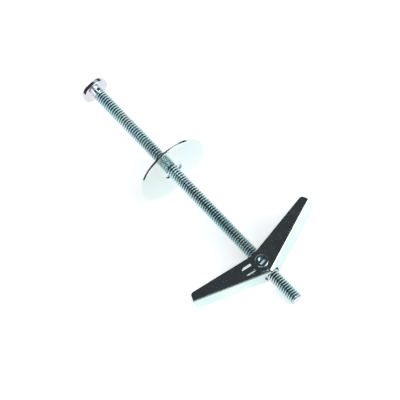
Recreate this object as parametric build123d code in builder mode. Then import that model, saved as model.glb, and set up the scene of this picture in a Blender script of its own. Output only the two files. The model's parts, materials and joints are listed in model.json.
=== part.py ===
"""Spring toggle bolt: a machine screw with a flat washer and a pair of sprung wings.

The screw lies as it comes to rest on a flat surface. It leans on the rim of its washer, on the
lower pin head of the trunnion nut and on the tip corner of the wider wing. Everything is drawn
in the screw's own frame and placed by one lying plane. In the screw's frame the origin is the
centre of the head's bearing face, +X runs along the screw to its tip, +Y points at the wider
wing and +Z is the axis that the wings fold about. All sizes are in millimetres.
"""

import os
from math import asin, cos, hypot, isclose, pi, radians, sin, sqrt, tan

from build123d import *

# Screw
THREAD_D = 4.75
SCREW_LENGTH = 113.0
TIP_CHAMFER = 0.45
NECK_D = 4.2
NECK_LENGTH = 1.7
NECK_FILLET = 0.3
HEAD_D = 10.4
HEAD_HEIGHT = 3.2
HEAD_BAND = 1.8
HEAD_SHOULDER_R = 0.8
HEAD_EDGE_R = 0.25
RECESS_SPAN = 5.0
RECESS_WIDTH = 1.05
RECESS_DEPTH = 1.9
RECESS_TAPER = 7.0
RECESS_TURN = 45.0

# Washer
WASHER_D = 27.9
WASHER_HOLE_D = 7.7
WASHER_THICKNESS = 0.9
WASHER_EDGE_R = 0.22
WASHER_FACE_X = 44.6
WASHER_SEAT_GAP = 0.03

# Wings
PIVOT_X = 94.9
WING_ANGLE = 68.0
WING_LENGTH = 27.3
SHEET = 0.6
NEST_GAP = 0.1
BEND_R = 0.9
EAR_CLEARANCE = 0.4
EAR_FILLET = 0.4
FREE_EDGE_ANGLE = 11.6
TIP_CORNER_R = 1.3
STOP_GAP = 0.05
SLOT_TRAVEL = 6.3
NOTCH_CLEARANCE = 0.45

# Trunnion nut
STUB_D = 3.4
STUB_CLEARANCE = 0.1
BARREL_WALL = 0.925
THREAD_CLEARANCE = 0.05
PIN_HEAD_D = 4.8
PIN_HEAD_THICKNESS = 0.35
PIN_HEAD_GAP = 0.05
PIN_HEAD_FILLET = 0.14
CUP_D = 2.9
CUP_DEPTH = 1.1
STAKE_WIDTH = 0.5
STAKE_DROP = 0.35
STAKE_HEIGHT = 0.5
STAKE_ANGLE = 98.0

# Spring
WIRE_D = 0.5
WIRE_GAP = 0.05
WIRE_SIDE_GAP = 0.225
LEG_CLEARANCE = 0.55
LEG_LENGTH = 11.0
LEG_BEND_R = 0.75

# Sizes that can be set by themselves, and otherwise follow the screw, the wire and the sheet
BARREL_D = THREAD_D + 2 * BARREL_WALL
WEB_OFFSET = BARREL_D / 2 + WIRE_GAP + WIRE_D + LEG_CLEARANCE + SHEET
EAR_R = WEB_OFFSET - SHEET - EAR_CLEARANCE
OUTER_WIDTH = THREAD_D + 2 * (WIRE_SIDE_GAP + WIRE_D) + 4 * (SHEET + NEST_GAP)
SPRING_HALF_SPAN = OUTER_WIDTH / 2 - 2 * (SHEET + NEST_GAP) - WIRE_D / 2

# Sizes that follow from the ones above
thread_r = THREAD_D / 2
inner_width = OUTER_WIDTH - 2 * (SHEET + NEST_GAP)
barrel_half = inner_width / 2 - SHEET - NEST_GAP
barrel_r = BARREL_D / 2
web_inside = WEB_OFFSET - SHEET
pin_r = STUB_D / 2
hole_r = pin_r + STUB_CLEARANCE
pin_head_inside = OUTER_WIDTH / 2 + PIN_HEAD_GAP
pin_half = pin_head_inside + PIN_HEAD_THICKNESS
washer_drop = (WASHER_HOLE_D - THREAD_D) / 2 - WASHER_SEAT_GAP
open_angle = radians(WING_ANGLE)
taper = radians(FREE_EDGE_ANGLE)
web_start = (STOP_GAP - cos(open_angle) * web_inside) / sin(open_angle)
notch_r = thread_r + NOTCH_CLEARANCE
notch_end = thread_r * (1 / sin(open_angle) - 1) - web_inside / tan(open_angle)
dome_height = HEAD_HEIGHT - HEAD_BAND
dome_r = ((HEAD_D / 2) ** 2 + dome_height**2) / (2 * dome_height)
coil_r = barrel_r + WIRE_GAP + WIRE_D / 2
leg_rise = web_inside - WIRE_GAP - WIRE_D / 2 - coil_r


def resting_slopes() -> tuple[float, float]:
    """Return the slope of the screw and the sine of its roll, where it lies on three points.

    The points are the washer's rim, the rim of the lower pin head and the tip corner of the
    outer wing. Each pass puts the plane through the first two, then rolls it to the third.
    """
    corner_out = WEB_OFFSET - BEND_R
    corner_x = PIVOT_X - cos(open_angle) * WING_LENGTH + sin(open_angle) * corner_out
    corner_y = sin(open_angle) * WING_LENGTH + cos(open_angle) * corner_out
    pin_rim_r = PIN_HEAD_D / 2 - PIN_HEAD_FILLET
    slope = 0.0
    roll = 0.0
    for _ in range(40):
        level = sqrt(1 - roll**2)
        pin_rim = level * pin_half + pin_rim_r * hypot(slope, roll)
        slope = (level * washer_drop - WASHER_D / 2 + pin_rim) / (PIVOT_X - WASHER_FACE_X)
        surface = slope * WASHER_FACE_X + level * washer_drop - WASHER_D / 2
        roll = (surface - slope * corner_x + level * OUTER_WIDTH / 2) / corner_y
    return slope, roll


slope, roll = resting_slopes()
level = sqrt(1 - roll**2)
run = 1 / sqrt(1 + slope**2)
surface_drop = -run * (slope * WASHER_FACE_X + level * washer_drop - WASHER_D / 2)
tip_end_x = run * SCREW_LENGTH - run * slope * (thread_r - TIP_CHAMFER)
head_end_x = run * (dome_r - HEAD_HEIGHT) - dome_r

# The lying plane: its origin is the bearing face's centre, with the middle of the part's length
# over the origin of the part's frame and the three resting points at z = 0.
lying = Plane(
    origin=(-(tip_end_x + head_end_x) / 2, 0, surface_drop),
    x_dir=(run, 0, run * slope),
    z_dir=(-run * slope * level, -roll, run * level),
)


def on_screw(plane: Plane) -> Plane:
    """Place a plane of the screw's frame on the lying screw."""
    return Plane(lying * plane)


def across_screw(x: float, y: float = 0.0, z: float = 0.0) -> Plane:
    """Return the plane square to the screw at a point, facing the tip."""
    return on_screw(Plane(origin=(x, y, z), x_dir=(0, 1, 0), z_dir=(1, 0, 0)))


def wing_plane(side: int) -> Plane:
    """Return a wing's plane at the pivot: x along the wing and y out to its web.

    The outer wing is side 1 and the inner one side -1. Both share one outline, so the plane
    faces down on the outer wing and up on the inner one.
    """
    along = (-cos(open_angle), side * sin(open_angle), 0)
    return on_screw(Plane(origin=(PIVOT_X, 0, 0), x_dir=along, z_dir=(0, 0, -side)))


def folded_wing(plane: Plane, width: float, slot_travel: float) -> Part:
    """Fold one wing out of sheet: a tapered channel with two ears round the pivot."""
    half = width / 2
    free_end = -EAR_R - SHEET
    section = Plane(
        origin=plane.origin - plane.x_dir * EAR_R, x_dir=plane.y_dir, z_dir=plane.x_dir
    )
    web = Plane(origin=plane.origin, x_dir=plane.x_dir, z_dir=plane.y_dir)
    with BuildPart() as wing:
        # The sheet bent to a channel, its open side towards the head
        with BuildSketch(section):
            with BuildLine():
                outside = FilletPolyline(
                    (free_end, half), (WEB_OFFSET, half), (WEB_OFFSET, -half), (free_end, -half),
                    radius=BEND_R,
                )
                inside = FilletPolyline(
                    (free_end, SHEET - half), (web_inside, SHEET - half),
                    (web_inside, half - SHEET), (free_end, half - SHEET),
                    radius=BEND_R - SHEET,
                )
                Line(outside @ 1, inside @ 0)
                Line(inside @ 1, outside @ 0)
            make_face()
        extrude(amount=EAR_R + WING_LENGTH)
        # The side outline: free edge tangent to the ear, tip corner rounded, web end cut square
        tip_corner = (WING_LENGTH, WING_LENGTH * tan(taper) - EAR_R / cos(taper))
        ear_corner = (web_start, sqrt(EAR_R**2 - web_start**2))
        with BuildSketch(plane) as outline:
            with BuildLine():
                Polyline(ear_corner, (web_start, WEB_OFFSET), (WING_LENGTH, WEB_OFFSET), tip_corner,
                         (EAR_R * sin(taper), -EAR_R * cos(taper)))
                ThreePointArc((EAR_R * sin(taper), -EAR_R * cos(taper)), (-EAR_R, 0), ear_corner)
            make_face()
            fillet(outline.vertices().sort_by_distance(tip_corner)[0], TIP_CORNER_R)
            fillet(outline.vertices().sort_by_distance(ear_corner)[0], EAR_FILLET)
        extrude(amount=width, both=True, mode=Mode.INTERSECT)
        # The round pin hole, or the slot that runs out from it along the free edge
        with BuildSketch(plane):
            if slot_travel:
                with Locations((slot_travel / 2 * cos(taper), slot_travel / 2 * sin(taper))):
                    SlotCenterToCenter(slot_travel, 2 * hole_r, rotation=FREE_EDGE_ANGLE)
            else:
                Circle(hole_r)
        extrude(amount=width, both=True, mode=Mode.SUBTRACT)
        # The round ended notch in the web, that the slanting screw passes through
        with BuildSketch(web):
            with Locations((notch_end, 0)):
                Circle(notch_r)
            with Locations((notch_end - notch_r, 0)):
                Rectangle(2 * notch_r, 2 * notch_r)
        extrude(amount=WEB_OFFSET + SHEET, mode=Mode.SUBTRACT)
    return wing.part


# Screw: pan head with a low dome, short plain neck and a shank drawn at the thread's crest
screw_axis = Axis(lying.origin, lying.x_dir)
dome_half_angle = asin(HEAD_D / 2 / dome_r) / 2
dome_middle = (
    dome_r * (1 - cos(dome_half_angle)) - HEAD_HEIGHT,
    dome_r * sin(dome_half_angle),
)
with BuildPart() as screw:
    with BuildSketch(lying) as outline:
        with BuildLine():
            ThreePointArc((-HEAD_HEIGHT, 0), dome_middle, (-HEAD_BAND, HEAD_D / 2))
            FilletPolyline(
                (-HEAD_BAND, HEAD_D / 2), (0, HEAD_D / 2), (0, NECK_D / 2), (NECK_LENGTH, NECK_D / 2),
                radius=[HEAD_EDGE_R, NECK_FILLET],
            )
            Polyline(
                (NECK_LENGTH, NECK_D / 2),
                (NECK_LENGTH + thread_r - NECK_D / 2, thread_r),
                (SCREW_LENGTH - TIP_CHAMFER, thread_r),
                (SCREW_LENGTH, thread_r - TIP_CHAMFER),
                (SCREW_LENGTH, 0),
                (-HEAD_HEIGHT, 0),
            )
        make_face()
        shoulder = (-HEAD_BAND, HEAD_D / 2)
        fillet(outline.vertices().sort_by_distance(shoulder)[0], HEAD_SHOULDER_R)
    revolve(axis=screw_axis)
    # Cross recess for the driver
    with BuildSketch(across_screw(-HEAD_HEIGHT)):
        for quarter in (0, 90):
            Rectangle(RECESS_SPAN, RECESS_WIDTH, rotation=RECESS_TURN + quarter)
    extrude(amount=RECESS_DEPTH, taper=RECESS_TAPER, mode=Mode.SUBTRACT)

# Washer: it hangs on the screw by its hole's upper edge, with the rounded side to the wings
with BuildPart() as washer:
    with BuildSketch(across_screw(WASHER_FACE_X, 0, washer_drop)):
        Circle(WASHER_D / 2)
        Circle(WASHER_HOLE_D / 2, mode=Mode.SUBTRACT)
    extrude(amount=-WASHER_THICKNESS)
    fillet(washer.faces().sort_by(screw_axis)[-1].edges(), WASHER_EDGE_R)

# Trunnion nut: a cross barrel with the screw's bore, and a headed stub at each end
pin_plane = on_screw(Plane(origin=(PIVOT_X, 0, 0), x_dir=(1, 0, 0), z_dir=(0, 0, 1)))
with BuildPart() as trunnion_nut:
    with BuildSketch(pin_plane):
        Circle(barrel_r)
    extrude(amount=barrel_half, both=True)
    with BuildSketch(pin_plane):
        Circle(pin_r)
    extrude(amount=pin_half, both=True)
    for side in (1, -1):
        with BuildSketch(pin_plane.offset(side * pin_head_inside)):
            Circle(PIN_HEAD_D / 2)
        extrude(amount=side * PIN_HEAD_THICKNESS)
    rims = [
        edge
        for edge in trunnion_nut.edges().filter_by(GeomType.CIRCLE)
        if isclose(edge.radius, PIN_HEAD_D / 2)
    ]
    rims = ShapeList(rims).sort_by(Axis(pin_plane.origin, pin_plane.z_dir))
    fillet([rims[0], rims[-1]], PIN_HEAD_FILLET)
    # The cups that the heads are spread from, each with the stake mark across it
    for side in (1, -1):
        with BuildSketch(pin_plane.offset(side * pin_half)):
            Circle(CUP_D / 2)
        extrude(amount=-side * CUP_DEPTH, mode=Mode.SUBTRACT)
        with BuildSketch(pin_plane.offset(side * (pin_half - STAKE_DROP))):
            Rectangle(CUP_D, STAKE_WIDTH, rotation=STAKE_ANGLE)
        extrude(amount=-side * STAKE_HEIGHT)
    with BuildSketch(across_screw(PIVOT_X)):
        Circle(thread_r + THREAD_CLEARANCE)
    extrude(amount=2 * barrel_r, both=True, mode=Mode.SUBTRACT)

# Wings: the inner one nests in the outer one when both fold along the screw
with BuildPart() as outer_wing:
    add(folded_wing(wing_plane(1), OUTER_WIDTH, 0))
with BuildPart() as inner_wing:
    add(folded_wing(wing_plane(-1), inner_width, SLOT_TRAVEL))

# Spring: one wire that straddles the screw, wraps the barrel and lies against both webs
leg_splay = asin(leg_rise / LEG_LENGTH)
half_wrap = pi / 2 - open_angle - leg_splay
apex_x = PIVOT_X + coil_r / cos(half_wrap)
leg_x = PIVOT_X + coil_r * cos(half_wrap) - LEG_LENGTH * sin(half_wrap)
leg_y = coil_r * sin(half_wrap) + LEG_LENGTH * cos(half_wrap)
with BuildPart() as spring:
    with BuildLine(lying) as wire:
        FilletPolyline(
            (leg_x, -leg_y, SPRING_HALF_SPAN),
            (apex_x, 0, SPRING_HALF_SPAN),
            (leg_x, leg_y, SPRING_HALF_SPAN),
            (leg_x, leg_y, -SPRING_HALF_SPAN),
            (apex_x, 0, -SPRING_HALF_SPAN),
            (leg_x, -leg_y, -SPRING_HALF_SPAN),
            radius=[coil_r, LEG_BEND_R, LEG_BEND_R, coil_r],
        )
    with BuildSketch(Plane(origin=wire.line @ 0, z_dir=wire.line % 0)):
        Circle(WIRE_D / 2)
    sweep(path=wire.line)

os.makedirs("parts", exist_ok=True)
screw.part.label = "screw"
export_step(screw.part, "parts/screw.step")
washer.part.label = "washer"
export_step(washer.part, "parts/washer.step")
trunnion_nut.part.label = "trunnion_nut"
export_step(trunnion_nut.part, "parts/trunnion_nut.step")
outer_wing.part.label = "outer_wing"
export_step(outer_wing.part, "parts/outer_wing.step")
inner_wing.part.label = "inner_wing"
export_step(inner_wing.part, "parts/inner_wing.step")
spring.part.label = "spring"
export_step(spring.part, "parts/spring.step")

# Places and directions that joints and mounts are measured from, in the part's frame
for name, point in (
    ("bearing face", (0, 0, 0)),
    ("washer face", (WASHER_FACE_X, 0, washer_drop)),
    ("pivot", (PIVOT_X, 0, 0)),
    ("screw tip", (SCREW_LENGTH, 0, 0)),
):
    print(name, [round(value, 4) for value in lying.from_local_coords(Vector(point))])
print("along the screw", [round(value, 6) for value in lying.x_dir])
print("fold axis", [round(value, 6) for value in lying.z_dir])
wire_length = sum(edge.length for edge in wire.edges())
print("spring volume", round(spring.part.volume, 4))
print("wire section times length", round(pi * (WIRE_D / 2) ** 2 * wire_length, 4))
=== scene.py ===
"""The looks of the spring toggle bolt: rolled thread, folded zinc sheet, spring and light."""

import json
import logging
import math
from dataclasses import dataclass
from enum import Enum

import bmesh
import bpy
from mathutils import Matrix, Vector

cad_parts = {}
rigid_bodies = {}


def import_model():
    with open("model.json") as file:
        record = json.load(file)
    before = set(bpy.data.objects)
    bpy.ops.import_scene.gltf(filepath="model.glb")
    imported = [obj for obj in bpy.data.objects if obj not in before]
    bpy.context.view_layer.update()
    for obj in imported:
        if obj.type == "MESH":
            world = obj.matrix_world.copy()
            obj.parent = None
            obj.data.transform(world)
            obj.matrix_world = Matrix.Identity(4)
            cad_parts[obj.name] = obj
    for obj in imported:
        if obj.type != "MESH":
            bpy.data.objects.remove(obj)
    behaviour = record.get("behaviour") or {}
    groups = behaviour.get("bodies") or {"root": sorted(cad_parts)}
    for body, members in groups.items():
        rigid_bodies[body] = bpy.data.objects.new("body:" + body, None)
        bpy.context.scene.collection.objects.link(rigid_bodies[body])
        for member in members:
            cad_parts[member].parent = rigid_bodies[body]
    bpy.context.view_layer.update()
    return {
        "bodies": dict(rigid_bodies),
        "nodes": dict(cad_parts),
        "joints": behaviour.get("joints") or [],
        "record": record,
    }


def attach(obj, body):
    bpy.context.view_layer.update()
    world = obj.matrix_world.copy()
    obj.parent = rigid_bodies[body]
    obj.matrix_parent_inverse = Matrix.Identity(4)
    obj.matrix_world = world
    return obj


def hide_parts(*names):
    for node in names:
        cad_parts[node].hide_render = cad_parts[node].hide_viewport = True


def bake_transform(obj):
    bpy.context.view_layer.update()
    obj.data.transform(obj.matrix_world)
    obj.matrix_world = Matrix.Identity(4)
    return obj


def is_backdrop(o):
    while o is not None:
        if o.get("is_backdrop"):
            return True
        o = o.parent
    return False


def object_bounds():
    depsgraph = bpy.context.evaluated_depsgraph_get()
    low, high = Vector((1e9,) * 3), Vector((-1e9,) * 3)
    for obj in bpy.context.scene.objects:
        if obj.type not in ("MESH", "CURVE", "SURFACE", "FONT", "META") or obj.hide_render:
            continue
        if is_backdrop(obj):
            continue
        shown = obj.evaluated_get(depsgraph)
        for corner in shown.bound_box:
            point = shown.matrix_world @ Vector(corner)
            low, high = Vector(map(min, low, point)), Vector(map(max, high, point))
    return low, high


log = logging.getLogger("toggle_bolt")

MM = 0.001

# Radii between which the painted groove shade fades in, from near the thread's crest to near its
# root
GROOVE_CLEAR_R = 2.28 * MM
GROOVE_FULL_R = 1.86 * MM
# Colour of the painted shade in the thread's grooves
PAINTED_GROOVE_SHADE_COLOUR = (0.035, 0.075, 0.085, 1.0)
SCRATCH_COLOUR = (0.93, 0.95, 0.94, 1.0)
SCRATCH_ROUGHNESS = 0.35

PAPER_COLOUR = (0.86, 0.86, 0.86, 1.0)
PAPER_LIFT = 0.50
FLOOR_RADIUS = 4.0
FLOOR_GAP = 0.02 * MM


class Body(Enum):
    """The moving bodies that the new pieces ride on."""

    SCREW = "screw"
    WASHER = "washer"
    NUT = "nut"
    OUTER_WING = "outer_wing"
    INNER_WING = "inner_wing"


class Side(Enum):
    """The two wings, by the side of the screw that they open to."""

    OUTER = 1
    INNER = -1


@dataclass(frozen=True)
class ScrewFrame:
    """The screw's own frame: x along the screw, z along the fold axis, origin at the head's face.

    Args:
        origin: centre of the head's bearing face, in metres.
        along: unit direction from the head to the tip.
        fold: unit direction of the wings' fold axis, upwards.
    """

    origin: Vector
    along: Vector
    fold: Vector

    @classmethod
    def from_record(cls, frame: dict, pivot_reach: float) -> "ScrewFrame":
        """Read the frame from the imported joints.

        Args:
            pivot_reach: distance from the head's face to the wings' pivot, in metres.

        Returns:
            The screw's frame.
        """
        joints = {joint["name"]: joint for joint in frame["joints"]}
        along = Vector(joints["toggle_travel"]["axis"]).normalized()
        fold = Vector(joints["outer_wing_fold"]["axis"]).normalized()
        pivot = Vector(joints["outer_wing_fold"]["pos_m"])
        return cls(pivot - along * pivot_reach, along, fold)

    @property
    def across(self) -> Vector:
        """Return the unit direction square to the screw, towards the outer wing."""
        return self.fold.cross(self.along)

    def matrix(self) -> Matrix:
        """Return the transform from screw coordinates to the part's frame."""
        axes = Matrix((self.along, self.across, self.fold)).transposed()
        return Matrix.Translation(self.origin) @ axes.to_4x4()

    def point(self, x: float, y: float = 0.0, z: float = 0.0) -> Vector:
        """Return a point given in screw coordinates, in the part's frame."""
        return self.matrix() @ Vector((x, y, z))

    def direction(self, x: float, y: float, z: float) -> Vector:
        """Return a direction given in screw coordinates, in the part's frame."""
        return self.matrix().to_3x3() @ Vector((x, y, z))


# ---------------------------------------------------------------------------------------------
# Shader groups
# ---------------------------------------------------------------------------------------------


class ShaderGroups:
    """The node groups that the finishes share, each built once."""

    def __init__(self, frame: ScrewFrame) -> None:
        """Build every group.

        Args:
            frame: the screw's frame, whose axis the painted groove shade of the thread is measured
                from.
        """
        self.plating = self._plating()
        self.scratches = self._scratches()
        self.grain = self._grain()
        # Painted shade for the thread's grooves
        self.grooves = self._painted_groove_shade(frame)

    @staticmethod
    def _new(name: str, inputs: dict[str, float], outputs: list[str]) -> bpy.types.NodeTree:
        """Make an empty group with float inputs and float outputs.

        Args:
            name: the group's name.
            inputs: each input's name and default value.
            outputs: the outputs' names.

        Returns:
            The new node tree.
        """
        tree = bpy.data.node_groups.new(name, "ShaderNodeTree")
        for label, value in inputs.items():
            socket = tree.interface.new_socket(label, in_out="INPUT", socket_type="NodeSocketFloat")
            socket.default_value = value
        for label in outputs:
            kind = "NodeSocketColor" if label == "Color" else "NodeSocketFloat"
            tree.interface.new_socket(label, in_out="OUTPUT", socket_type=kind)
        return tree

    @staticmethod
    def _noise(
        tree: bpy.types.NodeTree, vector: bpy.types.NodeSocket, scale: float, detail: float
    ) -> bpy.types.Node:
        """Add a noise texture.

        Args:
            tree: the tree that it goes in.
            vector: the coordinates that it reads.
            scale: features per metre.
            detail: octaves.

        Returns:
            The noise node.
        """
        node = tree.nodes.new("ShaderNodeTexNoise")
        node.inputs["Scale"].default_value = scale
        node.inputs["Detail"].default_value = detail
        tree.links.new(vector, node.inputs["Vector"])
        return node

    @staticmethod
    def _ramp(
        tree: bpy.types.NodeTree,
        value: bpy.types.NodeSocket,
        low: float,
        high: float,
    ) -> bpy.types.Node:
        """Add a smooth map of a value from low and high to 0 and 1.

        Args:
            tree: the tree that it goes in.
            value: the value to map.
            low: where the result is 0.
            high: where the result is 1.

        Returns:
            The map range node.
        """
        node = tree.nodes.new("ShaderNodeMapRange")
        node.interpolation_type = "SMOOTHSTEP"
        node.inputs["From Min"].default_value = low
        node.inputs["From Max"].default_value = high
        tree.links.new(value, node.inputs["Value"])
        return node

    @staticmethod
    def _maths(
        tree: bpy.types.NodeTree,
        operation: str,
        first: bpy.types.NodeSocket | float,
        second: bpy.types.NodeSocket | float,
    ) -> bpy.types.Node:
        """Add a math node.

        Args:
            tree: the tree that it goes in.
            operation: Blender's name of the operation.
            first: a socket or a number.
            second: a socket or a number.

        Returns:
            The math node.
        """
        node = tree.nodes.new("ShaderNodeMath")
        node.operation = operation
        for index, value in enumerate((first, second)):
            if isinstance(value, float):
                node.inputs[index].default_value = value
            else:
                tree.links.new(value, node.inputs[index])
        return node

    def _plating(self) -> bpy.types.NodeTree:
        """Build the clouded tint of a blue zinc passivation.

        Returns:
            A group with a cloud size and a depth, giving the tint's place between two colours,
            and a mask of slightly duller patches.
        """
        tree = self._new("zinc_plating", {"Cloud Size": 9.0, "Contrast": 1.0}, ["Tint", "Dull"])
        into = tree.nodes.new("NodeGroupInput")
        out = tree.nodes.new("NodeGroupOutput")
        place = tree.nodes.new("ShaderNodeTexCoord")
        size = self._maths(tree, "DIVIDE", 1000.0, into.outputs["Cloud Size"])
        cloud = self._noise(tree, place.outputs["Object"], 100.0, 3.0)
        tree.links.new(size.outputs[0], cloud.inputs["Scale"])
        tint = self._ramp(tree, cloud.outputs["Fac"], 0.36, 0.64)
        shift = self._maths(tree, "SUBTRACT", tint.outputs["Result"], 0.5)
        spread = self._maths(tree, "MULTIPLY", shift.outputs[0], into.outputs["Contrast"])
        centred = self._maths(tree, "ADD", spread.outputs[0], 0.5)
        tree.links.new(centred.outputs[0], out.inputs["Tint"])
        patch = self._noise(tree, place.outputs["Object"], 420.0, 5.0)
        dull = self._ramp(tree, patch.outputs["Fac"], 0.45, 0.72)
        tree.links.new(dull.outputs["Result"], out.inputs["Dull"])
        return tree

    def _scratches(self) -> bpy.types.NodeTree:
        """Build short fine handling scratches that run in two directions.

        Returns:
            A group with a density, giving a mask of the scratches.
        """
        tree = self._new("handling_scratches", {"Density": 0.5}, ["Mask"])
        into = tree.nodes.new("NodeGroupInput")
        out = tree.nodes.new("NodeGroupOutput")
        place = tree.nodes.new("ShaderNodeTexCoord")
        masks = []
        for turn, seed in ((0.55, 0.0), (-0.9, 0.37), (1.9, 0.81)):
            mapping = tree.nodes.new("ShaderNodeMapping")
            mapping.inputs["Rotation"].default_value = (0.2, 0.15, turn)
            mapping.inputs["Location"].default_value = (seed, seed, 0.0)
            mapping.inputs["Scale"].default_value = (1.0, 9.0, 3.0)
            tree.links.new(place.outputs["Object"], mapping.inputs["Vector"])
            streak = self._noise(tree, mapping.outputs["Vector"], 560.0, 0.0)
            peak = self._ramp(tree, streak.outputs["Fac"], 0.80, 0.86)
            masks.append(peak.outputs["Result"])
        first = self._maths(tree, "MAXIMUM", masks[0], masks[1])
        every = self._maths(tree, "MAXIMUM", first.outputs[0], masks[2])
        result = self._maths(tree, "MULTIPLY", every.outputs[0], into.outputs["Density"])
        tree.links.new(result.outputs[0], out.inputs["Mask"])
        return tree

    def _grain(self) -> bpy.types.NodeTree:
        """Build the very fine grain and slow waviness of plated sheet.

        Returns:
            A group with the grain's and the wave's weights, giving a height.
        """
        tree = self._new("plated_grain", {"Grain": 1.0, "Wave": 1.0}, ["Height"])
        into = tree.nodes.new("NodeGroupInput")
        out = tree.nodes.new("NodeGroupOutput")
        place = tree.nodes.new("ShaderNodeTexCoord")
        fine = self._noise(tree, place.outputs["Object"], 5200.0, 2.0)
        slow = self._noise(tree, place.outputs["Object"], 150.0, 1.0)
        grain = self._maths(tree, "MULTIPLY", fine.outputs["Fac"], into.outputs["Grain"])
        wave = self._maths(tree, "MULTIPLY", slow.outputs["Fac"], into.outputs["Wave"])
        scaled = self._maths(tree, "MULTIPLY", wave.outputs[0], 40.0)
        total = self._maths(tree, "ADD", grain.outputs[0], scaled.outputs[0])
        tree.links.new(total.outputs[0], out.inputs["Height"])
        return tree

    def _painted_groove_shade(self, frame: ScrewFrame) -> bpy.types.NodeTree:
        """Build the painted shade that darkens the grooves of the thread.

        Args:
            frame: the screw's frame.

        Returns:
            A group with a depth, giving a mask that is full at the thread's root.
        """
        tree = self._new("thread_painted_groove_shade", {"Depth": 1.0}, ["Mask"])
        into = tree.nodes.new("NodeGroupInput")
        out = tree.nodes.new("NodeGroupOutput")
        place = tree.nodes.new("ShaderNodeTexCoord")
        arm = tree.nodes.new("ShaderNodeVectorMath")
        arm.operation = "SUBTRACT"
        arm.inputs[1].default_value = frame.origin
        tree.links.new(place.outputs["Object"], arm.inputs[0])
        square = tree.nodes.new("ShaderNodeVectorMath")
        square.operation = "CROSS_PRODUCT"
        square.inputs[1].default_value = frame.along
        tree.links.new(arm.outputs[0], square.inputs[0])
        reach = tree.nodes.new("ShaderNodeVectorMath")
        reach.operation = "LENGTH"
        tree.links.new(square.outputs[0], reach.inputs[0])
        groove = self._ramp(tree, reach.outputs["Value"], GROOVE_CLEAR_R, GROOVE_FULL_R)
        result = self._maths(tree, "MULTIPLY", groove.outputs["Result"], into.outputs["Depth"])
        tree.links.new(result.outputs[0], out.inputs["Mask"])
        return tree


@dataclass(frozen=True)
class ZincFinish:
    """Bright zinc plate with a thin blue passivation, and painted shade in a thread's grooves where
    it is asked for.

    Args:
        name: the material's name.
        cool: the bluer tint.
        warm: the greyer or yellower tint that the clouds shift to.
        shine: roughness where the plate is clean.
        dull: roughness added in the duller patches.
        cloud_mm: size of the tint's clouds.
        contrast: how far the clouds shift the tint.
        scratches: strength of the handling scratches.
        grain: weight of the fine grain.
        wave: weight of the slow waviness.
        relief: height of the grain as a share of a micrometre.
        painted_root_shade: how far painted shade darkens the grooves of a thread.
    """

    name: str
    cool: tuple[float, float, float]
    warm: tuple[float, float, float]
    shine: float = 0.14
    dull: float = 0.10
    cloud_mm: float = 9.0
    contrast: float = 1.0
    scratches: float = 0.5
    grain: float = 1.0
    wave: float = 1.0
    relief: float = 1.0
    painted_root_shade: float = 0.0

    def material(self, groups: ShaderGroups) -> bpy.types.Material:
        """Build the material.

        Args:
            groups: the shared shader groups.

        Returns:
            The finished material.
        """
        made = bpy.data.materials.new(self.name)
        made.use_nodes = True
        tree = made.node_tree
        nodes, links = tree.nodes, tree.links
        shader = nodes["Principled BSDF"]
        shader.inputs["Metallic"].default_value = 1.0

        plating = nodes.new("ShaderNodeGroup")
        plating.node_tree = groups.plating
        plating.inputs["Cloud Size"].default_value = self.cloud_mm
        plating.inputs["Contrast"].default_value = self.contrast
        tint = nodes.new("ShaderNodeMix")
        tint.data_type = "RGBA"
        tint.inputs["A"].default_value = (*self.cool, 1.0)
        tint.inputs["B"].default_value = (*self.warm, 1.0)
        links.new(plating.outputs["Tint"], tint.inputs["Factor"])

        marks = nodes.new("ShaderNodeGroup")
        marks.node_tree = groups.scratches
        marks.inputs["Density"].default_value = self.scratches
        scored = nodes.new("ShaderNodeMix")
        scored.data_type = "RGBA"
        scored.inputs["B"].default_value = SCRATCH_COLOUR
        links.new(tint.outputs["Result"], scored.inputs["A"])
        # Painted shade: the grooves of a thread are darkened by their distance from the screw's
        # axis
        if self.painted_root_shade:
            grooves = nodes.new("ShaderNodeGroup")
            grooves.node_tree = groups.grooves
            grooves.inputs["Depth"].default_value = self.painted_root_shade
            darker = nodes.new("ShaderNodeMix")
            darker.data_type = "RGBA"
            darker.inputs["B"].default_value = PAINTED_GROOVE_SHADE_COLOUR
            links.new(tint.outputs["Result"], darker.inputs["A"])
            links.new(grooves.outputs["Mask"], darker.inputs["Factor"])
            links.new(darker.outputs["Result"], scored.inputs["A"])
        links.new(marks.outputs["Mask"], scored.inputs["Factor"])
        links.new(scored.outputs["Result"], shader.inputs["Base Color"])

        rough = nodes.new("ShaderNodeMapRange")
        rough.inputs["To Min"].default_value = self.shine
        rough.inputs["To Max"].default_value = self.shine + self.dull
        links.new(plating.outputs["Dull"], rough.inputs["Value"])
        worn = nodes.new("ShaderNodeMath")
        worn.operation = "MULTIPLY_ADD"
        worn.inputs[1].default_value = SCRATCH_ROUGHNESS
        links.new(marks.outputs["Mask"], worn.inputs[0])
        links.new(rough.outputs["Result"], worn.inputs[2])
        links.new(worn.outputs[0], shader.inputs["Roughness"])

        grain = nodes.new("ShaderNodeGroup")
        grain.node_tree = groups.grain
        grain.inputs["Grain"].default_value = self.grain
        grain.inputs["Wave"].default_value = self.wave
        bump = nodes.new("ShaderNodeBump")
        bump.inputs["Strength"].default_value = 0.6
        bump.inputs["Distance"].default_value = self.relief * 1e-6
        links.new(grain.outputs["Height"], bump.inputs["Height"])
        links.new(bump.outputs["Normal"], shader.inputs["Normal"])
        return made


# The thread's finish carries painted shade in its grooves
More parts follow.
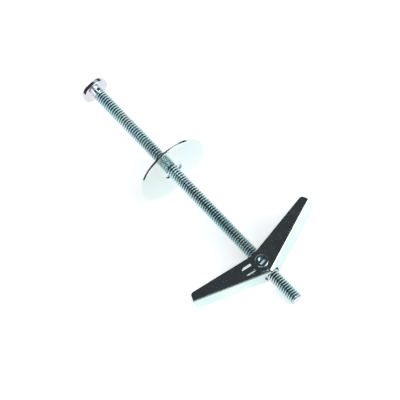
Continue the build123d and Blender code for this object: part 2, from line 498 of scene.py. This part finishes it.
SCREW_ZINC = ZincFinish(
    "blue_zinc_thread_painted_shade", cool=(0.50, 0.74, 0.79), warm=(0.66, 0.78, 0.80),
    shine=0.17, dull=0.08, cloud_mm=14.0, scratches=0.2, relief=0.5, painted_root_shade=0.72,
)
HEAD_ZINC = ZincFinish(
    "blue_zinc_head", cool=(0.62, 0.66, 0.72), warm=(0.74, 0.70, 0.73),
    shine=0.12, dull=0.08, cloud_mm=5.0, scratches=0.3, relief=0.6,
)
WASHER_ZINC = ZincFinish(
    "bright_zinc_washer", cool=(0.72, 0.80, 0.79), warm=(0.75, 0.79, 0.75),
    shine=0.13, dull=0.06, cloud_mm=16.0, scratches=0.12, wave=0.6, relief=0.5,
)
SHEET_ZINC = ZincFinish(
    "bright_zinc_sheet", cool=(0.62, 0.76, 0.73), warm=(0.72, 0.78, 0.76),
    shine=0.12, dull=0.07, cloud_mm=10.0, scratches=0.45, wave=1.2, relief=0.7,
)
NUT_ZINC = ZincFinish(
    "blue_zinc_nut", cool=(0.42, 0.58, 0.62), warm=(0.62, 0.66, 0.65),
    shine=0.17, dull=0.10, cloud_mm=4.0, scratches=0.4, relief=1.0,
)
SPRING_STEEL = ZincFinish(
    "spring_wire", cool=(0.36, 0.39, 0.41), warm=(0.46, 0.47, 0.46),
    shine=0.22, dull=0.10, cloud_mm=4.0, scratches=0.2, relief=1.0,
)


# ---------------------------------------------------------------------------------------------
# Mesh helpers
# ---------------------------------------------------------------------------------------------


@dataclass
class Workshop:
    """Turns finished bmeshes into pieces of the part.

    Args:
        frame: the screw's frame that the meshes are built in.
    """

    frame: ScrewFrame

    def piece(
        self, name: str, mesh: bmesh.types.BMesh, material: bpy.types.Material, smooth_deg: float
    ) -> bpy.types.Object:
        """Place a mesh built in screw coordinates and link it as an object.

        Args:
            name: the piece's name.
            mesh: the bmesh, which is freed.
            material: its finish.
            smooth_deg: edges that turn by less are smooth.

        Returns:
            The new object, at the origin.
        """
        bmesh.ops.recalc_face_normals(mesh, faces=mesh.faces)
        bmesh.ops.transform(mesh, matrix=self.frame.matrix(), verts=mesh.verts)
        data = bpy.data.meshes.new(name)
        mesh.to_mesh(data)
        mesh.free()
        data.shade_smooth()
        data.set_sharp_from_angle(angle=math.radians(smooth_deg))
        data.materials.append(material)
        made = bpy.data.objects.new(name, data)
        bpy.context.scene.collection.objects.link(made)
        log.info("%s: %d faces", name, len(data.polygons))
        return made

    @staticmethod
    def chain(mesh: bmesh.types.BMesh, points: list[tuple[float, float]]) -> list:
        """Add a profile of edges in the plane of the screw's axis.

        Args:
            mesh: the bmesh that it goes in.
            points: distance along the screw and radius of each point.

        Returns:
            The profile's vertices and edges.
        """
        verts = [mesh.verts.new((x, 0.0, radius)) for x, radius in points]
        edges = [mesh.edges.new(pair) for pair in zip(verts, verts[1:])]
        return [*verts, *edges]

    @staticmethod
    def lathe(mesh: bmesh.types.BMesh, profile: list, steps: int) -> None:
        """Spin a profile a full turn about the screw's axis.

        Args:
            mesh: the bmesh that holds it.
            profile: the profile's vertices and edges.
            steps: facets round the turn.
        """
        bmesh.ops.spin(
            mesh, geom=profile, cent=(0, 0, 0), axis=(1, 0, 0), angle=math.tau, steps=steps,
            use_merge=True,
        )
        bmesh.ops.remove_doubles(mesh, verts=mesh.verts, dist=1e-7)


def arc_points(
    centre: tuple[float, float], radius: float, start_deg: float, end_deg: float, count: int
) -> list[tuple[float, float]]:
    """Return points along an arc.

    Args:
        centre: the arc's centre.
        radius: its radius.
        start_deg: the first point's direction.
        end_deg: the last point's direction.
        count: how many points.

    Returns:
        The points.
    """
    points = []
    for index in range(count):
        turn = math.radians(start_deg + (end_deg - start_deg) * index / (count - 1))
        points.append((centre[0] + radius * math.cos(turn), centre[1] + radius * math.sin(turn)))
    return points


# ---------------------------------------------------------------------------------------------
# The screw
# ---------------------------------------------------------------------------------------------


@dataclass
class ThreadedScrew:
    """The screw: domed head with a cross recess, plain neck and one rolled thread.

    Lengths run from the head's bearing face, in metres.

    Args:
        workshop: makes the pieces.
        groups: the shared shader groups.
        crest_r: radius at the thread's crest.
        pitch: distance from one turn to the next.
        length: from the bearing face to the tip.
        tip_chamfer: how far the tip's edge is cut back.
        neck_r: radius of the plain neck.
        neck_length: its length.
        neck_sink: how far the thread's start lies inside the neck.
        neck_fillet: radius where the neck meets the head.
        head_r: radius of the head.
        head_height: from the bearing face to the top of the dome.
        head_band: height where the side of the head and the dome would meet in a corner.
        head_shoulder_r: radius that rounds that corner.
        head_edge_r: radius of the bearing face's rim.
        recess_span: width of the cross across two arms.
        recess_width: width of an arm.
        recess_depth: depth of the recess.
        turn_steps: facets round one turn of thread.
    """

    workshop: Workshop
    groups: ShaderGroups
    crest_r: float = 2.375 * MM
    pitch: float = 25.4 / 24 * MM
    length: float = 113.0 * MM
    tip_chamfer: float = 0.45 * MM
    neck_r: float = 2.1 * MM
    neck_length: float = 1.7 * MM
    neck_sink: float = 0.06 * MM
    neck_fillet: float = 0.3 * MM
    head_r: float = 5.2 * MM
    head_height: float = 3.2 * MM
    head_band: float = 1.8 * MM
    head_shoulder_r: float = 0.8 * MM
    head_edge_r: float = 0.25 * MM
    recess_span: float = 5.0 * MM
    recess_width: float = 1.05 * MM
    recess_depth: float = 1.9 * MM
    turn_steps: int = 48

    def thread_depth(self) -> float:
        """Return the depth of a rolled 60 degree thread."""
        return 0.613 * self.pitch

    def turn_profile(self) -> list[tuple[float, float]]:
        """Return one pitch of thread, as shares of the pitch and radii.

        Returns:
            A narrow rounded crest, two straight flanks and a rounded root.
        """
        root = self.crest_r - self.thread_depth()
        crest = self.crest_r
        ease = 0.03 * self.pitch
        return [
            (0.0, crest), (0.09, crest - ease * 0.5), (0.13, crest - ease * 2.2),
            (0.47, root + ease * 2.2), (0.53, root + ease * 0.3),
            (0.60, root + ease * 0.3), (0.66, root + ease * 2.2),
            (0.94, crest - ease * 1.0),
        ]

    def thread(self) -> bpy.types.Object:
        """Roll the thread: a profile of every pitch, spun one turn while it moves one pitch on.

        Returns:
            The threaded shank, from inside the neck to the chamfered tip.
        """
        mesh = bmesh.new()
        start = 0.3 * MM
        turns = math.ceil((self.length - start) / self.pitch) + 2
        profile = []
        for turn in range(-1, turns):
            for share, radius in self.turn_profile():
                profile.append((start + (turn + share) * self.pitch, radius))
        chain = self.workshop.chain(mesh, profile)
        step = Vector((self.pitch / self.turn_steps, 0.0, 0.0))
        bmesh.ops.spin(
            mesh, geom=chain, cent=(0, 0, 0), axis=(1, 0, 0), dvec=step, angle=math.tau,
            steps=self.turn_steps, use_merge=False,
        )
        bmesh.ops.remove_doubles(mesh, verts=mesh.verts, dist=2e-6)
        self._trim(mesh, self.neck_length * 0.6, -1)
        self._trim(mesh, self.length, 1)
        self._run_out(mesh)
        made = self.workshop.piece(
            "screw_thread", mesh, SCREW_ZINC.material(self.groups), smooth_deg=34
        )
        made.data.materials.append(HEAD_ZINC.material(self.groups))
        along = self.workshop.frame.along
        for face in made.data.polygons:
            if face.normal.dot(along) > 0.99:
                face.material_index = 1
        return made

    @staticmethod
    def _trim(mesh: bmesh.types.BMesh, place: float, side: int) -> None:
        """Cut the thread square at a place along the screw and close the end.

        Args:
            mesh: the thread.
            place: distance along the screw.
            side: 1 to drop what lies beyond, -1 to drop what lies before.
        """
        everything = [*mesh.verts, *mesh.edges, *mesh.faces]
        cut = bmesh.ops.bisect_plane(
            mesh, geom=everything, dist=1e-7, plane_co=(place, 0, 0), plane_no=(side, 0, 0),
            clear_outer=True,
        )
        rim = [item for item in cut["geom_cut"] if isinstance(item, bmesh.types.BMEdge)]
        bmesh.ops.contextual_create(mesh, geom=rim)

    def _run_out(self, mesh: bmesh.types.BMesh) -> None:
        """Fade the thread into the neck and bevel the first turns at the tip."""
        grown = self.neck_length + 1.1 * self.pitch
        for vert in mesh.verts:
            radius = math.hypot(vert.co.y, vert.co.z)
            if radius < 1e-6:
                continue
            limit = self.crest_r
            if vert.co.x < grown:
                share = max(0.0, (vert.co.x - self.neck_length) / (grown - self.neck_length))
                rise = self.crest_r - self.neck_r + self.neck_sink
                limit = self.neck_r - self.neck_sink + share * rise
            from_tip = self.length - vert.co.x
            if from_tip < self.tip_chamfer:
                limit = min(limit, self.crest_r - self.tip_chamfer + from_tip)
            if radius > limit:
                vert.co.y *= limit / radius
                vert.co.z *= limit / radius

    def head(self) -> bpy.types.Object:
        """Turn the head and its neck, then sink the cross recess.

        Returns:
            The head.
        """
        dome = self.head_height - self.head_band
        dome_r = (self.head_r**2 + dome**2) / (2 * dome)
        profile = [(-self.head_height, 0.0)]
        # The shoulder's arc touches the dome inside and the side of the head
        shoulder = self.head_shoulder_r
        centre_r = self.head_r - shoulder
        centre_x = dome_r - self.head_height - math.sqrt((dome_r - shoulder) ** 2 - centre_r**2)
        touch = math.degrees(math.asin(centre_r / (dome_r - shoulder)))
        dome_centre = (dome_r - self.head_height, 0.0)
        profile += arc_points(dome_centre, dome_r, 180 - 2, 180 - touch, 20)
        profile += arc_points((centre_x, centre_r), shoulder, 180 - touch - 6, 90, 10)
        edge = self.head_edge_r
        profile += arc_points((-edge, self.head_r - edge), edge, 90, 0, 6)
        fillet = self.neck_fillet
        profile += arc_points((fillet, self.neck_r + fillet), fillet, 180, 270, 6)
        profile += [
            (self.neck_length - 0.12 * MM, self.neck_r), (self.neck_length, self.neck_r - 0.1 * MM),
            (self.neck_length, 0.0),
        ]
        mesh = bmesh.new()
        self.workshop.lathe(mesh, self.workshop.chain(mesh, profile), 96)
        made = self.workshop.piece(
            "screw_head", mesh, HEAD_ZINC.material(self.groups), smooth_deg=38
        )
        self._sink(made)
        return made

    def _sink(self, head: bpy.types.Object) -> None:
        """Cut the cross recess out of the head with a tapered cross."""
        cutter = bmesh.new()
        top = -self.head_height - 0.5 * MM
        for turn in (45, 135):
            box = bmesh.ops.create_cube(cutter, size=1.0)["verts"]
            scale = (self.recess_depth + 0.5 * MM, self.recess_span, self.recess_width)
            bmesh.ops.scale(cutter, vec=scale, verts=box)
            floor = [vert for vert in box if vert.co.x > 0]
            bmesh.ops.scale(cutter, vec=(1.0, 0.6, 0.72), verts=floor)
            bmesh.ops.translate(cutter, vec=(top + scale[0] / 2, 0, 0), verts=box)
            bmesh.ops.rotate(
                cutter, cent=(0, 0, 0), matrix=Matrix.Rotation(math.radians(turn), 3, "X"),
                verts=box,
            )
        tool = self.workshop.piece("recess_tool", cutter, head.data.materials[0], 20)
        sink = head.modifiers.new("recess", "BOOLEAN")
        sink.operation = "DIFFERENCE"
        sink.solver = "EXACT"
        sink.use_self = True
        sink.object = tool
        bpy.context.view_layer.update()
        finished = bpy.data.meshes.new_from_object(
            head.evaluated_get(bpy.context.evaluated_depsgraph_get())
        )
        head.modifiers.clear()
        head.data = finished
        finished.shade_smooth()
        finished.set_sharp_from_angle(angle=math.radians(32))
        bpy.data.objects.remove(tool)

    def build(self) -> None:
        """Build the screw's pieces in place of its plain solid."""
        for made in (self.thread(), self.head()):
            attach(made, Body.SCREW.value)
            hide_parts("screw")


# ---------------------------------------------------------------------------------------------
# The spring
# ---------------------------------------------------------------------------------------------


@dataclass
class WingSpring:
    """The hairpin wire: it wraps the nut's barrel on both sides of the screw.

    Args:
        workshop: makes the pieces.
        groups: the shared shader groups.
        wire_r: radius of the wire.
        pivot: distance of the barrel's axis from the head's bearing face.
        coil_r: radius of the wire's line round the barrel.
        span: height of the wire's line over and under the screw's axis.
        leg: length of a leg from the barrel.
        corner_r: radius where a leg turns into the crossbar.
        open_deg: how far a wing at rest stands from the screw.
        web_inside: distance from the pivot to the inside of a wing's web.
        wire_gap: clearance between the wire and the web.
    """

    workshop: Workshop
    groups: ShaderGroups
    wire_r: float = 0.25 * MM
    pivot: float = 94.9 * MM
    coil_r: float = 3.6 * MM
    span: float = 2.85 * MM
    leg: float = 11.0 * MM
    corner_r: float = 0.75 * MM
    open_deg: float = 68.0
    web_inside: float = 4.4 * MM
    wire_gap: float = 0.05 * MM

    def half_wrap(self) -> float:
        """Return the angle from the screw's plane to where a leg leaves the barrel."""
        rise = self.web_inside - self.wire_gap - self.wire_r - self.coil_r
        return math.radians(90 - self.open_deg) - math.asin(rise / self.leg)

    def leave(self, side: Side) -> Vector:
        """Return the point where a wing's leg leaves the barrel, in screw coordinates."""
        turn = self.half_wrap()
        return Vector((
            self.pivot + self.coil_r * math.cos(turn),
            side.value * self.coil_r * math.sin(turn),
            0.0,
        ))

    def path(self, side: Side, level: int) -> list[Vector]:
        """Return the line of one leg, from the screw's plane out to its end.

        Args:
            side: which wing the leg lies in.
            level: 1 above the screw, -1 below it.

        Returns:
            The points.
        """
        turn = self.half_wrap()
        points = []
        steps = 12
        for index in range(steps + 1):
            angle = turn * index / steps
            points.append(Vector((
                self.pivot + self.coil_r * math.cos(angle),
                side.value * self.coil_r * math.sin(angle),
                level * self.span,
            )))
        out = Vector((-math.sin(turn), side.value * math.cos(turn), 0.0))
        reach = self.leg - (self.corner_r if side is Side.OUTER else 0.0)
        for share in (0.1, 0.35, 0.7, 1.0):
            points.append(points[steps] + out * reach * share)
        return points

    def whole_line(self, side: Side) -> list[list[Vector]]:
        """Return every run of wire in one wing: joined by a crossbar, or two open legs."""
        upper, lower = self.path(side, 1), self.path(side, -1)
        if side is Side.INNER:
            return [upper, lower]
        out = (upper[-1] - upper[-2]).normalized()
        corner = []
        for index in range(1, 7):
            turn = math.radians(90 * index / 6)
            corner.append(
                upper[-1] + out * self.corner_r * math.sin(turn)
                - Vector((0, 0, self.corner_r * (1 - math.cos(turn))))
            )
        mirrored = [Vector((point.x, point.y, -point.z)) for point in reversed(corner)]
        return [upper + corner + mirrored + list(reversed(lower))]

    def half(self, side: Side) -> bpy.types.Object:
        """Draw the wire of one wing.

        Args:
            side: which wing it lies in.

        Returns:
            The piece.
        """
        mesh = bmesh.new()
        for line in self.whole_line(side):
            self._tube(mesh, line)
        made = self.workshop.piece(
            f"spring_{side.name.lower()}", mesh, SPRING_STEEL.material(self.groups), 60
        )
        start = self.workshop.frame.point(self.pivot + self.coil_r, 0.0, 0.0)
        end = self.workshop.frame.point(*self.leave(side))
        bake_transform(made)
        return made

    def _tube(self, mesh: bmesh.types.BMesh, line: list[Vector]) -> None:
        """Draw a round wire along a line by bridging one ring of vertices to the next."""
        rings = []
        for index, point in enumerate(line):
            before = line[max(index - 1, 0)]
            after = line[min(index + 1, len(line) - 1)]
            tangent = (after - before).normalized()
            ring = bmesh.ops.create_circle(mesh, segments=16, radius=self.wire_r)["verts"]
            turn = Vector((0, 0, 1)).rotation_difference(tangent).to_matrix().to_4x4()
            bmesh.ops.transform(mesh, matrix=Matrix.Translation(point) @ turn, verts=ring)
            rings.append(ring)
        mesh.edges.ensure_lookup_table()
        for first, second in zip(rings, rings[1:]):
            loops = [edge for ring in (first, second) for vert in ring for edge in vert.link_edges]
            ring_edges = [
                edge for edge in set(loops)
                if set(edge.verts) <= set(first) or set(edge.verts) <= set(second)
            ]
            bmesh.ops.bridge_loops(mesh, edges=ring_edges)
        for ring in (rings[0], rings[-1]):
            bmesh.ops.contextual_create(mesh, geom=ring)

    def build(self) -> None:
        """Build both halves in place of the plain wire."""
        for side, body in ((Side.OUTER, Body.OUTER_WING), (Side.INNER, Body.INNER_WING)):
            made = self.half(side)
            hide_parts("spring")


# ---------------------------------------------------------------------------------------------
# Carried-over pieces
# ---------------------------------------------------------------------------------------------


@dataclass
class Dresser:
    """Gives the frame's own pieces their finishes.

    Args:
        nodes: the frame's pieces by name.
        groups: the shared shader groups.
    """

    nodes: dict[str, bpy.types.Object]
    groups: ShaderGroups

    def dress(self, node: str, finish: ZincFinish) -> None:
        """Give one piece its finish.

        Args:
            node: the piece's name.
            finish: the finish that it takes.
        """
        piece = self.nodes[node]
        material = finish.material(self.groups)
        if not piece.material_slots:
            piece.data.materials.append(material)
        for slot in piece.material_slots:
            slot.material = material
        log.info("%s dressed in %s", node, finish.name)


# ---------------------------------------------------------------------------------------------
# The studio
# ---------------------------------------------------------------------------------------------


@dataclass(frozen=True)
class Screen:
    """One soft pale screen of the surroundings.

    Args:
        way: direction from the part to its middle.
        inner_deg: half angle within which it is even.
        outer_deg: half angle at which it has faded out.
        colour: its brightness and tint.
    """

    way: tuple[float, float, float]
    inner_deg: float
    outer_deg: float
    colour: tuple[float, float, float]


# The room's own colour, and the screens that stand in it
ROOM = (0.045, 0.048, 0.055, 1.0)
SCREENS = (
    Screen((0.50, -0.86, 0.05), 22, 44, (0.80, 0.90, 0.92)),
    Screen((-0.42, 0.66, 0.62), 9, 20, (0.62, 0.74, 0.78)),
    Screen((-1.0, -0.10, 0.02), 18, 38, (0.62, 0.80, 0.90)),
    Screen((0.85, -0.35, 0.36), 12, 28, (0.50, 0.52, 0.52)),
    Screen((0.62, 0.20, 0.75), 10, 24, (0.62, 0.80, 0.94)),
    Screen((0.78, 0.52, 0.22), 16, 32, (0.90, 0.95, 1.0)),
)


@dataclass
class Studio:
    """A white floor, soft lamps, pale screens in a dark room and a long lens from above.

    Args:
        frame: the screw's frame.
        aim: distance along the screw of the point that the camera starts from.
        distance: from that point to the camera, in metres.
        focal_mm: focal length of the lens.
        slide_right: how far the camera is then moved to its right.
        slide_down: how far it is then moved down.
    """

    frame: ScrewFrame
    aim: float = 56.0 * MM
    distance: float = 1.281
    focal_mm: float = 326.0
    slide_right: float = 2.07 * MM
    slide_down: float = 2.52 * MM

    def camera(self) -> None:
        """Place the camera above, leaning to the tip, with the screw running down the picture."""
        right = self.frame.direction(0.629, 0.750, -0.204).normalized()
        back = self.frame.direction(0.421, -0.108, 0.900)
        back = (back - right * back.dot(right)).normalized()
        up = back.cross(right)
        data = bpy.data.cameras.new("camera")
        data.lens = self.focal_mm
        data.sensor_width = 36.0
        data.clip_end = 20.0
        target = self.frame.point(self.aim) + right * self.slide_right - up * self.slide_down
        camera = bpy.data.objects.new("camera", data)
        axes = Matrix((right, up, back)).transposed().to_4x4()
        camera.matrix_world = Matrix.Translation(target + back * self.distance) @ axes
        bpy.context.scene.collection.objects.link(camera)
        bpy.context.scene.camera = camera

    def floor(self) -> None:
        """Lay a wide white floor that shows white and keeps a soft shadow."""
        mesh = bmesh.new()
        bmesh.ops.create_circle(mesh, cap_ends=True, segments=64, radius=FLOOR_RADIUS)
        data = bpy.data.meshes.new("floor")
        mesh.to_mesh(data)
        mesh.free()
        floor = bpy.data.objects.new("floor", data)
        low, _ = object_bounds()
        floor.location.z = low.z - FLOOR_GAP
        bpy.context.scene.collection.objects.link(floor)
        data.materials.append(self._paper())
        floor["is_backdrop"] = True

    @staticmethod
    def _paper() -> bpy.types.Material:
        """Return white paper, lit from below for the camera, for metal and for glass alike."""
        made = bpy.data.materials.new("white_paper")
        made.use_nodes = True
        nodes, links = made.node_tree.nodes, made.node_tree.links
        shader = nodes["Principled BSDF"]
        shader.inputs["Base Color"].default_value = PAPER_COLOUR
        shader.inputs["Roughness"].default_value = 0.9
        shader.inputs["Specular IOR Level"].default_value = 0.0
        shader.inputs["Emission Color"].default_value = (1.0, 1.0, 1.0, 1.0)
        path = nodes.new("ShaderNodeLightPath")
        seen = path.outputs["Is Camera Ray"]
        for ray in ("Is Glossy Ray", "Is Transmission Ray"):
            either = nodes.new("ShaderNodeMath")
            either.operation = "MAXIMUM"
            links.new(seen, either.inputs[0])
            links.new(path.outputs[ray], either.inputs[1])
            seen = either.outputs[0]
        lift = nodes.new("ShaderNodeMath")
        lift.operation = "MULTIPLY"
        lift.inputs[1].default_value = PAPER_LIFT
        links.new(seen, lift.inputs[0])
        links.new(lift.outputs[0], shader.inputs["Emission Strength"])
        return made

    def lamp(
        self, name: str, azimuth: float, elevation: float, reach: float, size: float, watts: float
    ) -> None:
        """Hang a soft square lamp that faces the middle of the part.

        Args:
            name: the lamp's name.
            azimuth: its direction in degrees, turned from the screw's tip to the outer wing.
            elevation: its height over the floor in degrees.
            reach: distance in metres.
            size: edge length in metres.
            watts: power.
        """
        turn, rise = math.radians(azimuth), math.radians(elevation)
        flat = Vector((math.cos(turn) * math.cos(rise), math.sin(turn) * math.cos(rise), 0.0))
        way = Vector((flat.x, flat.y, math.sin(rise)))
        data = bpy.data.lights.new(name, "AREA")
        data.shape = "SQUARE"
        data.size = size
        data.energy = watts
        lamp = bpy.data.objects.new(name, data)
        lamp.matrix_world = (
            Matrix.Translation(way * reach) @ way.to_track_quat("Z", "Y").to_matrix().to_4x4()
        )
        bpy.context.scene.collection.objects.link(lamp)

    @staticmethod
    def surroundings() -> None:
        """Fill the world: a dark room with a few large pale screens, as round a light table."""
        world = bpy.data.worlds.new("surroundings")
        world.use_nodes = True
        bpy.context.scene.world = world
        nodes, links = world.node_tree.nodes, world.node_tree.links
        place = nodes.new("ShaderNodeTexCoord")
        seen = None
        for panel in SCREENS:
            facing = nodes.new("ShaderNodeVectorMath")
            facing.operation = "DOT_PRODUCT"
            facing.inputs[1].default_value = Vector(panel.way).normalized()
            links.new(place.outputs["Generated"], facing.inputs[0])
            mask = nodes.new("ShaderNodeMapRange")
            mask.interpolation_type = "SMOOTHSTEP"
            mask.inputs["From Min"].default_value = math.cos(math.radians(panel.outer_deg))
            mask.inputs["From Max"].default_value = math.cos(math.radians(panel.inner_deg))
            links.new(facing.outputs["Value"], mask.inputs["Value"])
            blend = nodes.new("ShaderNodeMix")
            blend.data_type = "RGBA"
            blend.inputs["A"].default_value = ROOM
            blend.inputs["B"].default_value = (*panel.colour, 1.0)
            links.new(mask.outputs["Result"], blend.inputs["Factor"])
            if seen is not None:
                links.new(seen, blend.inputs["A"])
            seen = blend.outputs["Result"]
        links.new(seen, nodes["Background"].inputs["Color"])

    def build(self) -> None:
        """Set up the whole studio."""
        self.camera()
        self.floor()
        self.surroundings()
        self.lamp("key", azimuth=38, elevation=24, reach=0.9, size=0.4, watts=2.6)
        self.lamp("left", azimuth=-58, elevation=30, reach=1.0, size=0.8, watts=3.4)
        self.lamp("head_end", azimuth=172, elevation=32, reach=1.0, size=1.0, watts=3.4)
        self.lamp("overhead", azimuth=28, elevation=56, reach=1.1, size=0.5, watts=2.2)
        bpy.context.scene.view_settings.view_transform = "Standard"


def main() -> None:
    """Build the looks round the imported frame."""
    logging.basicConfig(level=logging.INFO, format="%(name)s %(message)s")
    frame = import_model()
    screw_frame = ScrewFrame.from_record(frame, WingSpring.pivot)
    groups = ShaderGroups(screw_frame)
    workshop = Workshop(screw_frame)
    ThreadedScrew(workshop, groups).build()
    WingSpring(workshop, groups).build()
    dresser = Dresser(frame["nodes"], groups)
    dresser.dress("washer", WASHER_ZINC)
    dresser.dress("trunnion_nut", NUT_ZINC)
    dresser.dress("outer_wing", SHEET_ZINC)
    dresser.dress("inner_wing", SHEET_ZINC)
    Studio(screw_frame).build()


if __name__ == "__main__":
    main()
